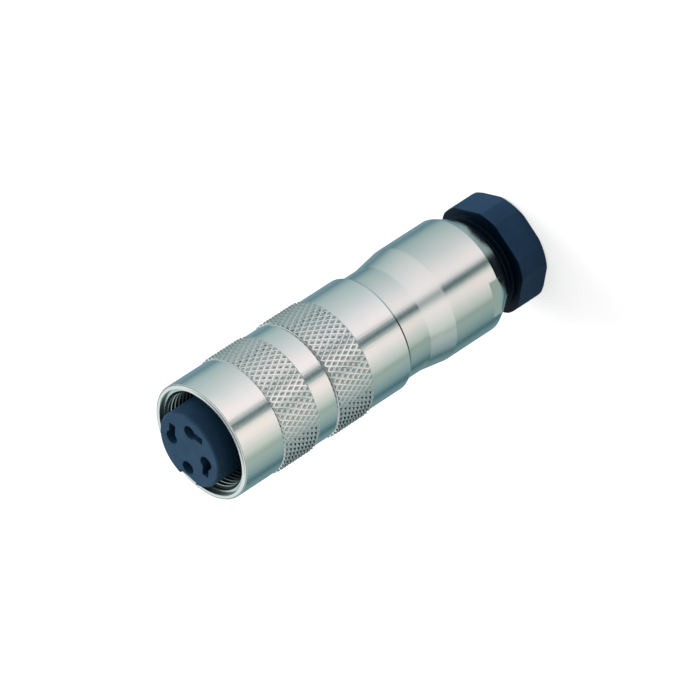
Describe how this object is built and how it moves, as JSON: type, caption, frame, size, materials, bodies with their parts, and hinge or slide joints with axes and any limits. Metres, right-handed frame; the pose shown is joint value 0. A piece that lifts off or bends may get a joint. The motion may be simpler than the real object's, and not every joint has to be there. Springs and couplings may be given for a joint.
{
  "type": "shielded female connector",
  "caption": "Shielded cable connector with a knurled coupling ring, socket contacts in a keyed insert and a cable gland.",
  "frame": {"origin": "on the connector's axis, at the rear face of the gland nut on which it stands", "axes": "+Z along the connector's axis towards the mating end; the keyway and the first contact lie at 125 degrees from +X towards +Y"},
  "size_m": [0.019, 0.019, 0.0636],
  "materials": {
    "ring_plating": "satin nickel plating on turned brass",
    "housing_plating": "satin nickel plating on turned brass",
    "inner_metal": "nickel plating on brass",
    "contact_plating": "gold plating",
    "spring_steel": "bright spring steel",
    "insert_plastic": "moulded, fine matt grain",
    "gland_plastic": "moulded, satin",
    "spacer_plastic": "moulded, matt",
    "washer_plastic": "smooth",
    "seal_rubber": "matt rubber"
  },
  "bodies": {
    "nut": {"gland_nut": "gland_plastic"},
    "cage": {"clamping_cage": "gland_plastic"},
    "shell": {"rear_housing": "housing_plating", "gland_seal": "seal_rubber", "shield_ring": "inner_metal", "body_o_ring": "seal_rubber", "spacer_half_a": "spacer_plastic", "spacer_half_b": "spacer_plastic", "contact_plate": "insert_plastic", "contact_insert": "insert_plastic", "insert_o_ring": "seal_rubber", "contact_1": "contact_plating", "contact_2": "contact_plating", "contact_3": "contact_plating", "contact_4": "contact_plating", "front_body": "housing_plating", "front_seal": "seal_rubber", "ring_circlip": "spring_steel"},
    "washer": {"slip_washer": "washer_plastic"},
    "ring": {"coupling_ring": "ring_plating"}
  },
  "joints": [
    {"name": "nut_turn", "type": "hinge", "parent": "nut", "child": "cage", "pos_m": [0, 0, 0], "axis": [0, 0, -1], "range_deg": [-1441, 721]},
    {"name": "gland_travel", "type": "slide", "parent": "cage", "child": "shell", "axis": [0, 0, -1], "range_m": [-0.004, 0.002], "deforming": ["gland_seal"]},
    {"name": "ring_float", "type": "slide", "parent": "shell", "child": "washer", "axis": [0, 0, 1], "range_m": [0, 0.00055]},
    {"name": "ring_turn", "type": "hinge", "parent": "washer", "child": "ring", "pos_m": [0, 0, 0.045], "axis": [0, 0, 1], "continuous": true}
  ],
  "couplings": [
    {"joint": "nut_turn", "follows": "gland_travel", "rad_per_m": 6283.2}
  ]
}
